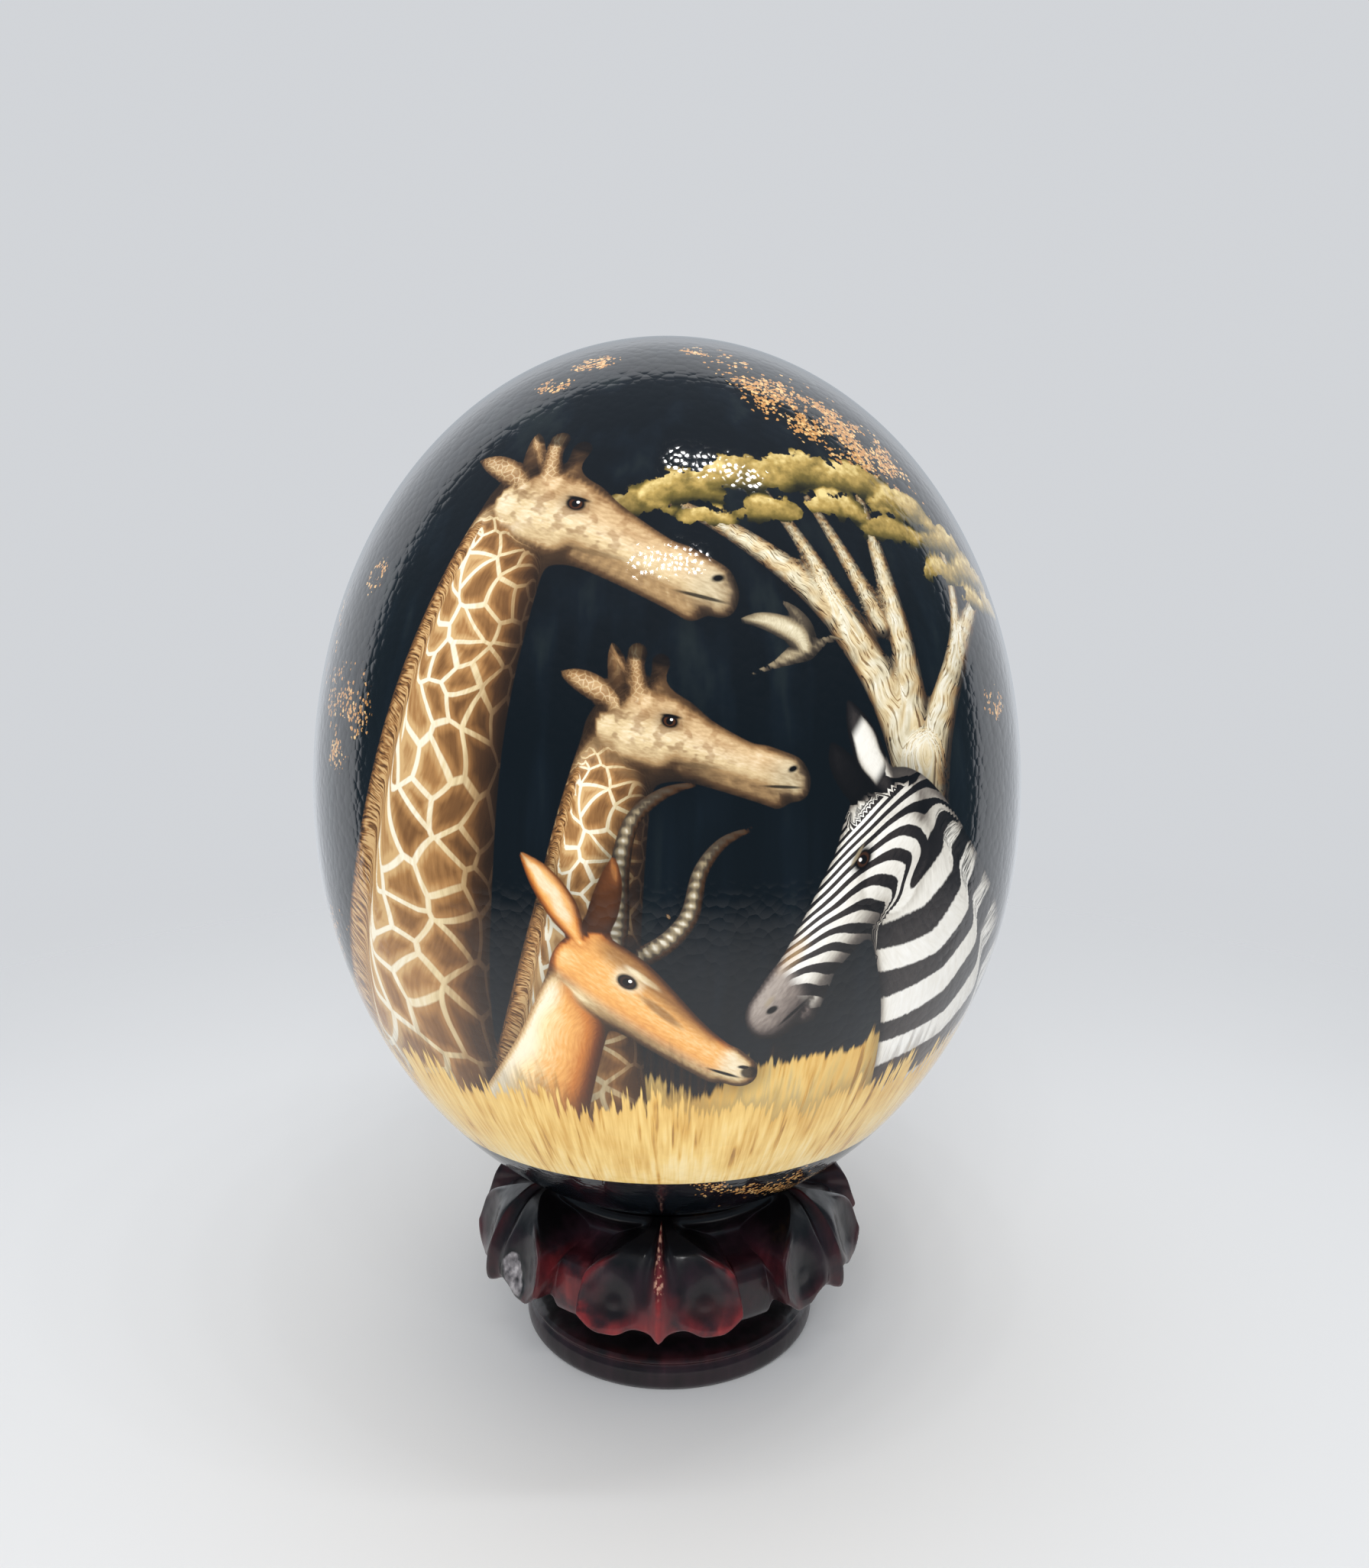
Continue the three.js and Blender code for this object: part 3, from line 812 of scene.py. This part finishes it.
def giraffe_colour(t, f):
    """Cream lines between brown cells on the neck, a mottled tan head with a pale jaw, and a bristly mane."""
    tone = f.light * (0.72 + 0.52 * f.hair())
    cell = t.cells(t.scaled(f.coat, (1.75, 1.75, 0.0)), feature="DISTANCE_TO_EDGE", voronoi_dimensions="2D")
    chance, _, _ = t.parts(t.cells(t.scaled(f.coat, (1.75, 1.75, 0.0)), voronoi_dimensions="2D"))
    inside = tone * (0.88 + 0.3 * chance - 0.3 * t.step(cell, 0.1, 0.34))
    body = t.mix(t.ramp(tone * 1.08, CREAM), t.ramp(inside, HIDE), t.step(cell, 0.05, 0.095))
    upper = t.step(f.v + 0.16 * f.u, -0.06, 0.06)
    face = t.mix(t.ramp(tone * 1.1, CREAM), t.ramp(tone * (1.0 - 0.14 * upper), TAN), 0.3 + 0.6 * upper)
    mottle = t.step(t.noise(t.scaled(f.face, (11.0, 15.0, 0.0))), 0.5, 0.6) * t.step(f.u, 0.8, 0.45)
    face = t.mix(face, t.ramp(tone * 0.8, HIDE), 0.55 * mottle * t.step(f.v, -0.2, -0.12))
    face = t.mix(face, t.ramp(tone * 0.86, BONE), 0.7 * f.spot((0.97, -0.12), (0.2, 0.16), 0.0, 0.8))
    face = t.mix(face, HIDE[1], 0.6 * f.spot((0.27, 0.0), (0.11, 0.075), 0.0, 0.9))
    face = f.eye(face, (0.275, 0.0), 0.034, paint(72, 40, 20))
    lash = f.stroke((0.205, 0.02), (0.35, 0.03), 0.014)
    nostril = f.stroke((0.92, -0.098), (0.985, -0.055), 0.022)
    mouth = f.stroke((0.78, -0.2), (1.06, -0.15), 0.011)
    cheek = f.stroke((0.28, -0.2), (0.64, -0.15), 0.016)
    face = t.mix(face, INK, t.clamp(lash + nostril + 0.9 * mouth + 0.3 * cheek))
    body = t.mix(body, face, f.head)
    bristle = t.step(t.noise(t.scaled(f.coat, (24.0, 2.0, 0.0))), 0.3, 0.66)
    mane = t.ramp(f.light * (0.3 + 0.8 * bristle), HIDE)
    body = t.mix(body, mane, t.step(f.tint - f.head, 0.35, 0.65))
    horn_tip = t.step(f.tint, 0.1, 0.2) * t.step(f.v, 0.24, 0.27) * t.step(f.tint, 0.5, 0.3)
    return t.mix(body, INK, 0.85 * horn_tip)


def zebra_colour(t, f):
    """White with black bands, a dark muzzle with a brown bridge, and a striped, bristly mane."""
    hair = f.hair()
    tone = f.light * (0.74 + 0.5 * hair)
    stripe = t.step(t.sin(f.phase) + 0.5 * hair, 0.12, 0.46)
    colour = t.mix(t.ramp(tone * 1.06, WHITE), t.ramp(tone, BLACK), stripe)
    ear = t.step(f.v, 0.1, 0.14) * t.step(f.head, 0.2, 0.35) * t.step(f.head, 0.75, 0.6)
    rim = t.clamp(t.step(f.v, 0.27, 0.31) + t.step(t.maths("ABSOLUTE", f.bend), 0.7, 1.05))
    colour = t.mix(colour, t.mix(t.ramp(tone, WHITE), t.ramp(tone, BLACK), rim), ear)
    muzzle = t.step(f.u + 0.4 * f.v, 0.72, 0.8) * f.head
    colour = t.mix(colour, t.ramp(tone, MUZZLE), muzzle)
    bridge = f.spot((0.7, 0.02), (0.12, 0.06), 0.0, 0.9)
    colour = t.mix(colour, t.ramp(tone, HIDE), 0.5 * f.head * bridge)
    colour = t.mix(colour, INK, 0.85 * f.spot((0.27, 0.005), (0.08, 0.055), 0.0, 0.8))
    colour = f.eye(colour, (0.27, 0.0), 0.032, paint(60, 36, 22))
    lid = f.stroke((0.215, 0.03), (0.33, 0.03), 0.01)
    glow = f.stroke((0.86, -0.03), (0.95, -0.035), 0.018, 0.9)
    colour = t.mix(colour, BONE[2], t.clamp(0.8 * lid + 0.6 * glow))
    nostril = f.spot((0.93, -0.065), (0.032, 0.02), 20.0, 0.5)
    colour = t.mix(colour, INK, t.clamp(nostril + f.stroke((0.8, -0.165), (1.0, -0.13), 0.01)))
    bristle = t.noise(t.scaled(f.coat, (26.0, 2.0, 0.0)))
    return t.mix(colour, INK, t.step(f.tint - f.head, 0.35, 0.65) * t.step(bristle, 0.6, 0.3))


def antelope_colour(t, f):
    """Warm chestnut, darker on the brow and along the nose, pale round the eye, on the muzzle and throat."""
    tone = f.light * (0.76 + 0.46 * f.hair())
    upper = t.step(f.v + 0.1 * f.u, 0.0, 0.08) * t.step(f.u, 0.0, 0.14) * t.step(f.u, 0.82, 0.7) * f.head
    colour = t.mix(t.ramp(tone, WARM), t.ramp(tone * 0.75, HIDE), 0.8 * upper)
    pale = t.ramp(tone * 1.1, CREAM)
    throat = t.step(f.v, -0.13, -0.2) * f.head
    front = t.step(f.bend, -0.35, -0.9) * (1.0 - f.head)
    muzzle = t.step(f.u + f.v * 0.3, 0.76, 0.86) * f.head
    ring = f.spot((0.26, 0.005), (0.095, 0.075), 0.0, 0.5)
    brow = f.stroke((0.18, 0.055), (0.42, 0.045), 0.02)
    colour = t.mix(colour, pale, t.clamp(throat + 0.8 * front + 0.85 * muzzle + 0.5 * ring + 0.6 * brow))
    stripe = f.stroke((0.3, -0.02), (0.62, -0.055), 0.028)
    colour = t.mix(colour, t.ramp(tone * 0.6, HIDE), 0.7 * stripe)
    colour = f.eye(colour, (0.26, -0.005), 0.036, paint(48, 28, 18))
    nose = f.spot((0.985, -0.085), (0.05, 0.045), 0.0, 0.4)
    mouth = f.stroke((0.78, -0.17), (1.0, -0.125), 0.012)
    nostril = f.stroke((0.91, -0.09), (0.965, -0.06), 0.014)
    colour = t.mix(colour, INK, t.clamp(0.92 * nose + mouth + nostril))
    on_ear = t.step(f.u, -0.06, -0.12) * t.step(f.head, 0.4, 0.55)
    return t.mix(colour, pale, 0.75 * on_ear * t.step(t.maths("ABSOLUTE", f.bend), 0.6, 0.15))


def horn_colour(t, f):
    """Dark horn ringed by ridges that fade out towards its smooth tip."""
    ring = 0.5 + 0.5 * t.sin(f.along * 4.4 + 1.4 * f.bend * f.bend)
    return t.ramp(f.light * (0.8 + 0.34 * ring * t.step(f.along, 24.0, 17.0)),
                  [BLACK[0], HIDE[1], BONE[1], BONE[2], BONE[4]])


def tree_colour(t, f):
    """Weathered wood: long streaks, cracks along the limbs and a few knots."""
    streak = t.noise(t.scaled(f.coat, (1.3, 5.5, 0.0)), 1.0, 5.0)
    crack = t.step(t.noise(t.scaled(f.coat, (0.8, 7.0, 0.0), (7.0, 0.0, 0.0))), 0.56, 0.64)
    knot = t.step(t.cells(t.scaled(f.coat, (0.9, 1.1, 0.0))), 0.13, 0.07)
    tone = f.light * (0.5 + 0.95 * streak) - 0.32 * crack - 0.25 * knot
    warm = t.step(t.noise(t.scaled(f.coat, (0.8, 0.8, 0.0)), 1.0, 1.0), 0.4, 0.6)
    return t.mix(t.ramp(tone * 1.1, BONE), t.ramp(tone, CREAM), warm)


def grassland(t, position, chart_x, z):
    """The tone of dry grass, and how far below a far field's and a near field's ragged top each point lies.

    Its blades follow the egg's meridians: they vary with the direction from the axis, and little with height.
    """
    x, y, up = t.place(position)
    out = t.maths("SQRT", x * x + y * y)
    round_egg = t.node("ShaderNodeCombineXYZ", {0: x / out, 1: y / out, 2: up * 1.6})
    blade = t.noise(round_egg, 75.0)
    streak = t.noise(round_egg, 38.0, 3.0)
    clump = t.noise(t.scaled(position, (110.0, 110.0, 60.0)))
    patch = t.noise(position, 55.0, 3.0)
    slope = FIELD_RISE * t.step(chart_x, -6.0, 26.0) * t.step(chart_x, 60.0, 40.0)
    far = FIELD_TOP_Z - BLADE_MEAN + slope + 9.0 * blade + 24.0 * patch - z
    near = GRASS_TOP_Z - BLADE_MEAN + 16.0 * blade + 18.0 * clump - z
    stroke = t.step(streak, 0.54, 0.68) * t.step(patch, 0.62, 0.5)
    tone = 0.42 * patch + 0.4 * clump + 0.55 * blade - 0.34 * stroke
    return tone, far, near


def gold_flecks(t, position, art, chart_x, z):
    """The gold leaf's colour, and how much of it shows.

    It lies as crumbs in the drifts, in a few clusters elsewhere, and below the painting right of the front.
    """
    crumb = t.cells(position, CRUMBS_PER_METRE)
    chance, spark, _ = t.parts(crumb)
    share = 0.0
    for at, size, turn, strength in FLECK_DRIFTS:
        share = share + strength * t.step(t.near(art, at, size, turn), 0.0, 0.6)
    elsewhere = 0.45 * t.step(t.noise(position, 30.0, 1.0), 0.66, 0.74) * t.step(z, 52.0, 80.0)
    below = 0.6 * t.step(t.noise(position, 60.0, 1.0), 0.46, 0.6) * t.step(z, 50.0, 49.0)
    below = below * t.step(chart_x, 3.0, 8.0)
    share = (share + elsewhere + below) * t.step(t.noise(position, 190.0, 4.0), 0.36, 0.6)
    shown = t.step(chance - share, 0.0, -0.03) * t.step(crumb, 0.75, 0.55)
    return t.mix(GOLD, BRIGHT_GOLD, t.step(spark, 0.6, 0.9)), shown


def painted_lacquer():
    """A dark ground with the painting and gold flecks on it, under one glossy lacquer full of fine pores."""
    material = bpy.data.materials.new("painted_lacquer")
    t = Tree(material)
    position = t.position()
    art = t.attribute("art")
    chart_x, _, z = t.parts(art)
    gold, shown = gold_flecks(t, position, art, chart_x, z)
    haze = t.noise(t.scaled(position, (160.0, 160.0, 14.0)), 1.0, 3.0)
    colour = t.mix(t.ramp(t.step(haze, 0.42, 0.75), GROUND), gold, shown)
    tone, far, near = grassland(t, position, chart_x, z)
    colour = t.mix(colour, t.ramp(tone - 0.06 + 0.014 * far, GRASS), t.step(far, 0.0, 2.2))
    figure = Painted(t, "tree")
    colour = figure.over(colour, tree_colour(t, figure))
    figure = Painted(t, "leaves")
    figure.edge = figure.edge + 6.0 * t.noise(position, 420.0, 4.0) + 3.0 * t.noise(position, 200.0) - 3.6
    foliage = 0.3 + 0.75 * t.noise(position, 900.0, 3.0) + 0.5 * t.noise(position, 260.0)
    colour = figure.over(colour, t.ramp(figure.light * foliage, LEAF), 0.15, 0.2)
    figure = Painted(t, "birds")
    feather = 0.75 + 0.45 * t.noise(t.scaled(figure.coat, (9.0, 2.0, 0.0)))
    plumage = t.ramp(figure.light * feather * (0.95 - 0.45 * figure.tint), BONE)
    colour = figure.over(colour, plumage, 0.08, 0.0)
    for name, colour_of in (("giraffe", giraffe_colour), ("zebra", zebra_colour), ("horns", horn_colour),
                            ("antelope", antelope_colour)):
        figure = Painted(t, name)
        colour = figure.over(colour, colour_of(t, figure))
    colour = t.mix(colour, GRASS[0], 0.45 * t.step(near, -7.0, 1.0))
    colour = t.mix(colour, t.ramp(tone + 0.014 * near - 0.1, GRASS), t.step(near, 0.0, 1.6))
    below = t.mix(GROUND[0], gold, shown)
    colour = t.mix(below, colour, t.step(z, PAINT_BOTTOM_Z - PAINT_EDGE, PAINT_BOTTOM_Z + PAINT_EDGE))
    pore = t.cells(position, 1.0 / (PORE_SPACING * MM))
    wave = t.noise(position, 1.0 / (WAVE_SPACING * MM), 1.0)
    height = wave * (WAVE_HEIGHT * MM) - pore * pore * (PORE_DEPTH * MM)
    normal = t.node("ShaderNodeBump", {"Strength": 1.0, "Distance": 1.0, "Height": height})
    shader = t.node("ShaderNodeBsdfPrincipled", {
        "Base Color": colour, "Roughness": 0.07, "IOR": 1.58, "Normal": normal,
    })
    t.node("ShaderNodeOutputMaterial", {"Surface": shader})
    return material


def add_egg():
    """The egg as a ball of squares in the egg's shape, with the painting's figures stored at its vertices.

    Its vertices also carry 'art': the front chart's x and y, and z, in mm.
    """
    n, faces = ball_of_squares(EGG_MESH_STEPS)
    n = drawn_to_front(n)
    vertices = egg_surface(n)
    x, y = chart(n, 0)
    stored = {"art": np.stack([x, y, vertices[:, 2]], 1), **painting(n)}
    return new_piece("lacquered_egg", vertices, [faces], stored)


PLUM = shades((9, 7, 9), (34, 20, 27), (76, 45, 57))
RUBBED = shades((66, 13, 19), (108, 26, 31), (160, 58, 54))
# Greys of the painted highlight's silvery reflection.
HIGHLIGHT_GREYS = shades((40, 37, 40), (116, 112, 115), (172, 168, 170))
# Near black: stain with painted shade in the hollows, and the painted shade that rings the painted highlight.
STAIN_AND_SHADE = paint(8, 6, 8)
CHIP = paint(196, 150, 128)


def carved_rosewood():
    """Plum-brown polished wood, black in its hollows and rubbed to red on its ridges, rims and lower edges.

    It is worn most at the front, where the ridge has pale chips. Painted shade darkens its top under the egg,
    the foot's top and, with stain, its hollows. One patch of the left petal has a painted highlight, a
    silvery reflection ringed by painted shade.
    """
    material = bpy.data.materials.new("carved_rosewood")
    t = Tree(material)
    position = t.position()
    x, y, z = [distance / MM for distance in t.place(position)]
    raised, rim, edge = t.parts(t.attribute("relief"))
    ridge, hollow = t.clamp(raised), t.clamp(-raised)
    grain = t.noise(t.scaled(position, (420.0, 420.0, 60.0)), 1.0, 4.0)
    cloud = t.noise(position, 90.0, 3.0)
    rub = t.noise(position, 230.0, 4.0)
    fine = t.noise(position, 700.0, 2.0)
    lappets = t.step(z, 13.0, 15.0) * t.step(z, 27.0, 21.0)
    left = t.step(x, -22.5, -20.5) * t.step(x, -13.0, -15.0)
    flush = lappets * (0.35 * t.step(cloud, 0.48, 0.66) + 0.7 * left * t.step(rub, 0.3, 0.6))
    front = t.step(x, -26.0, -18.0) * t.step(x, 20.0, 12.0) * t.step(y, -8.0, -34.0)
    wear = t.clamp(0.95 * ridge + 0.9 * rim + 0.8 * edge) * t.step(rub, 0.3, 0.58) + flush
    wear = t.clamp(wear) * (0.18 + 0.82 * front)
    # Painted shade: darker at the top under the egg, and on the foot's top under the petals.
    painted_shade = 0.5 * t.step(z, 26.0, 30.0) + 0.3 * t.step(z, 12.0, 8.0) * t.step(z, 4.6, 6.0)
    colour = t.mix(t.ramp(0.9 * grain + 0.8 * cloud - 0.5 - painted_shade, PLUM), t.ramp(grain, RUBBED), wear)
    # Near black in the dishes' hollows: stain and painted shade together.
    colour = t.mix(colour, STAIN_AND_SHADE, 0.75 * t.step(hollow + 0.5 * (rub - 0.5), 0.3, 0.85))
    chip = t.step(ridge, 0.3, 0.7) * t.step(t.noise(position, 800.0, 3.0), 0.5, 0.6) * t.step(z, 22.5, 26.0)
    colour = t.mix(colour, CHIP, 0.8 * chip * front)
    # A painted highlight on the left petal: a speckled silvery reflection, ringed by painted shade.
    u, v = (x - HIGHLIGHT_X) / HIGHLIGHT_HALF_WIDTH, (z - HIGHLIGHT_Z) / HIGHLIGHT_HALF_HEIGHT
    highlight_patch = 1.0 - u * u - v * v + 2.2 * (rub - 0.5)
    on_front = t.step(y, -10.0, -14.0)
    colour = t.mix(colour, STAIN_AND_SHADE, t.step(highlight_patch, -0.5, -0.1) * on_front)
    colour = t.mix(colour, t.ramp(2.0 * fine - 0.5, HIGHLIGHT_GREYS), t.step(highlight_patch, 0.1, 0.5) * on_front)
    rough = 0.26 + 0.2 * fine + 0.12 * wear
    gouge = t.noise(t.scaled(position, (180.0, 180.0, 120.0)), 1.0, 2.0)
    height = gouge * (0.35 * MM) + grain * (0.06 * MM) + rub * (0.1 * MM)
    normal = t.node("ShaderNodeBump", {"Strength": 1.0, "Distance": 1.0, "Height": height})
    shader = t.node("ShaderNodeBsdfPrincipled", {
        "Base Color": colour, "Roughness": rough, "IOR": 1.4, "Normal": normal,
        "Coat Weight": 0.35, "Coat Roughness": 0.1,
    })
    t.node("ShaderNodeOutputMaterial", {"Surface": shader})
    return material


# ---------------------------------------------------------------- the setting


def add_floor():
    """A pale table top that fades away with distance into the backdrop."""
    mesh = bpy.data.meshes.new("table_top")
    s = FLOOR_HALF_SIZE
    mesh.from_pydata([(-s, -s, 0), (s, -s, 0), (s, s, 0), (-s, s, 0)], [], [(0, 1, 2, 3)])
    floor = bpy.data.objects.new("table_top", mesh)
    bpy.context.scene.collection.objects.link(floor)
    material = bpy.data.materials.new("pale_table_top")
    t = Tree(material)
    x, y, _ = t.place(t.position())
    distance = t.maths("SQRT", x * x + y * y)
    shader = t.node("ShaderNodeBsdfPrincipled", {
        "Base Color": FLOOR_COLOUR, "Roughness": 0.6,
        "Alpha": t.step(distance, FLOOR_FADE[1], FLOOR_FADE[0]),
    })
    t.node("ShaderNodeOutputMaterial", {"Surface": shader})
    mesh.materials.append(material)
    return floor


def add_world():
    """The surroundings by direction: a pale backdrop as seen, an even fill as light, and as mirrored a room.

    The mirrored room is dark, with a paler ceiling, and a bright sweep behind that dims in its middle.
    """
    world = bpy.data.worlds.new("studio")
    bpy.context.scene.world = world
    t = Tree(world)
    _, y, z = t.place(t.node("ShaderNodeTexCoord", {}, "Generated"))
    seen = t.mix(BACKDROP_UPPER, BACKDROP_LOWER, t.step(z, *BACKDROP_JOIN))
    sweep = t.step(y - SWEEP_LEAN * z, *SWEEP_EDGE) * (1.0 - 0.5 * t.step(y, *SWEEP_MIDDLE))
    above = t.step(z, *CEILING_RISE)
    mirrored = t.mix(t.mix(ROOM, CEILING, above), SWEEP, sweep)
    light = t.mix(FILL, seen, t.node("ShaderNodeLightPath", {}, "Is Camera Ray"))
    light = t.mix(light, mirrored, t.node("ShaderNodeLightPath", {}, "Is Glossy Ray"))
    background = t.node("ShaderNodeBackground", {"Color": light, "Strength": 1.0})
    t.node("ShaderNodeOutputWorld", {"Surface": background})


def add_light(name, at, size, power, mirrored=False):
    """A rectangle of light at a place in mm, facing the egg's middle."""
    light = bpy.data.lights.new(name, "AREA")
    light.shape = "RECTANGLE"
    light.size, light.size_y = size[0] * MM, size[1] * MM
    light.energy = power
    lamp = bpy.data.objects.new(name, light)
    lamp.location = Vector(at) * MM
    lamp.rotation_euler = (Vector((0, 0, EGG_CENTRE_Z)) - Vector(at)).to_track_quat("-Z", "Y").to_euler()
    lamp.visible_glossy = mirrored
    bpy.context.scene.collection.objects.link(lamp)


def add_camera():
    """A camera before the egg and above its middle, tipped down and turned a hair to the right."""
    camera = bpy.data.cameras.new("camera")
    camera.sensor_fit = "VERTICAL"
    camera.sensor_height = SENSOR
    camera.lens = FOCAL_LENGTH_PIXELS / IMAGE_HEIGHT * SENSOR
    view = bpy.data.objects.new("camera", camera)
    back, up = math.cos(CAMERA_ELEVATION), math.sin(CAMERA_ELEVATION)
    view.location = Vector((0, -CAMERA_DISTANCE * back, EGG_CENTRE_Z + CAMERA_DISTANCE * up)) * MM
    view.rotation_euler = (math.pi / 2 - CAMERA_PITCH, 0, CAMERA_TURN)
    bpy.context.scene.collection.objects.link(view)
    bpy.context.scene.camera = view


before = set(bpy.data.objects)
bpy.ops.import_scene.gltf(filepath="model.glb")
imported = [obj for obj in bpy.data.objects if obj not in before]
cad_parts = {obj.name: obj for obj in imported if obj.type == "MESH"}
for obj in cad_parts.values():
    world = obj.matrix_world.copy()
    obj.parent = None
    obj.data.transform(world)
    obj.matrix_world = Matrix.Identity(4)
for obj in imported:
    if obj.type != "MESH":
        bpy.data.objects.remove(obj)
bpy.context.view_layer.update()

egg = add_egg()
egg.data.materials.append(painted_lacquer())
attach(egg, "root")
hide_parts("egg")

stand = add_stand()
stand.data.materials.append(carved_rosewood())
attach(stand, "root")
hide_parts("stand")

add_floor()
add_world()
add_light("overhead", (-25, 20, 620), (420, 420), 0.6)
add_light("front_fill", (-110, -728, 308), (546, 546), 3.65)
for i, x in enumerate(LAMPS_X):
    add_light(f"lamp_above_{i}", (85 + x, -100, 500), LAMP_SIZE, LAMP_POWER, mirrored=True)
    add_light(f"lamp_before_{i}", (x, -330, 500), LAMP_SIZE, LAMP_POWER, mirrored=True)
add_camera()
bpy.context.scene.view_settings.view_transform = "Standard"
